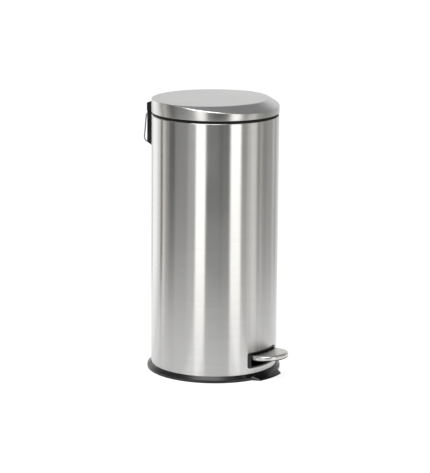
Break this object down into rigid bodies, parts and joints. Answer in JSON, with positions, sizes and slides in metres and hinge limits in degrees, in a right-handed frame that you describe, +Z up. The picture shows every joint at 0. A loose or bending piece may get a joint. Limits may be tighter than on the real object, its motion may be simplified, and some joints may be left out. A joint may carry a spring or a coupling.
{
  "type": "pedal trash can",
  "caption": "Round brushed steel pedal bin with a slanted front bevel on its hinged lid, black floor ring, rear wire handle and lift-out bucket",
  "frame": {"origin": "On the tube's axis at floor level", "axes": "+Z up, -Y towards the pedal (front), +Y towards the lid's hinge, +X to the right as seen from the front"},
  "size_m": [0.308, 0.3704, 0.6265],
  "materials": {
    "brushed_body": "vertical reflections over a fine horizontal brush",
    "brushed_trim": "fine brushed stainless",
    "black_plastic": "moulded, satin",
    "inner_plastic": "moulded, matte",
    "plated_steel": "zinc plated",
    "wire_steel": "plated wire",
    "bucket_plastic": "moulded, matte",
    "rubber": "matte"
  },
  "bodies": {
    "can": {"outer_body": "brushed_body", "top_collar": "black_plastic", "base_ring": "black_plastic", "bottom_plate": "plated_steel", "pedal_bezel": "black_plastic", "lever_axle": "plated_steel", "axle_brackets": "plated_steel", "bracket_screws": "plated_steel", "axle_clips": "plated_steel", "rod_guides": "inner_plastic", "hinge_housing": "black_plastic", "hinge_backing_plate": "plated_steel", "housing_screws": "plated_steel", "hinge_pin": "plated_steel", "inner_bucket": "bucket_plastic", "bucket_handle": "wire_steel"},
    "lid": {"lid_shell": "brushed_trim", "lid_hinge_cover": "black_plastic", "cover_screws": "plated_steel", "lid_liner": "inner_plastic", "lid_hinge_arm": "inner_plastic", "crank_pin": "plated_steel", "lid_screws": "plated_steel", "lid_bumpers": "rubber"},
    "pedal": {"pedal_lever": "plated_steel", "pedal_cap": "brushed_trim", "pedal_pad": "black_plastic", "pedal_screws": "plated_steel", "pedal_bumper": "rubber"},
    "rod": {"push_rod": "plated_steel", "rod_foot": "inner_plastic", "rod_fork": "inner_plastic"},
    "handle": {"carry_handle": "wire_steel"}
  },
  "joints": [
    {"name": "lid_hinge", "type": "hinge", "parent": "can", "child": "lid", "pos_m": [0, 0.154, 0.602], "axis": [-1, 0, 0], "range_deg": [0, 75]},
    {"name": "pedal_rock", "type": "hinge", "parent": "can", "child": "pedal", "pos_m": [0, -0.032, 0.031], "axis": [1, 0, 0], "range_deg": [0, 6.5]},
    {"name": "rod_lift", "type": "slide", "parent": "can", "child": "rod", "axis": [0, 0, 1], "range_m": [0, 0.0197]},
    {"name": "handle_swing", "type": "hinge", "parent": "can", "child": "handle", "pos_m": [0, 0.161, 0.5824], "axis": [1, 0, 0], "range_deg": [0, 120]}
  ],
  "couplings": [
    {"joint": "pedal_rock", "follows": "lid_hinge", "ratio": 0.08666},
    {"joint": "rod_lift", "follows": "lid_hinge", "m_per_rad": 0.01498}
  ]
}
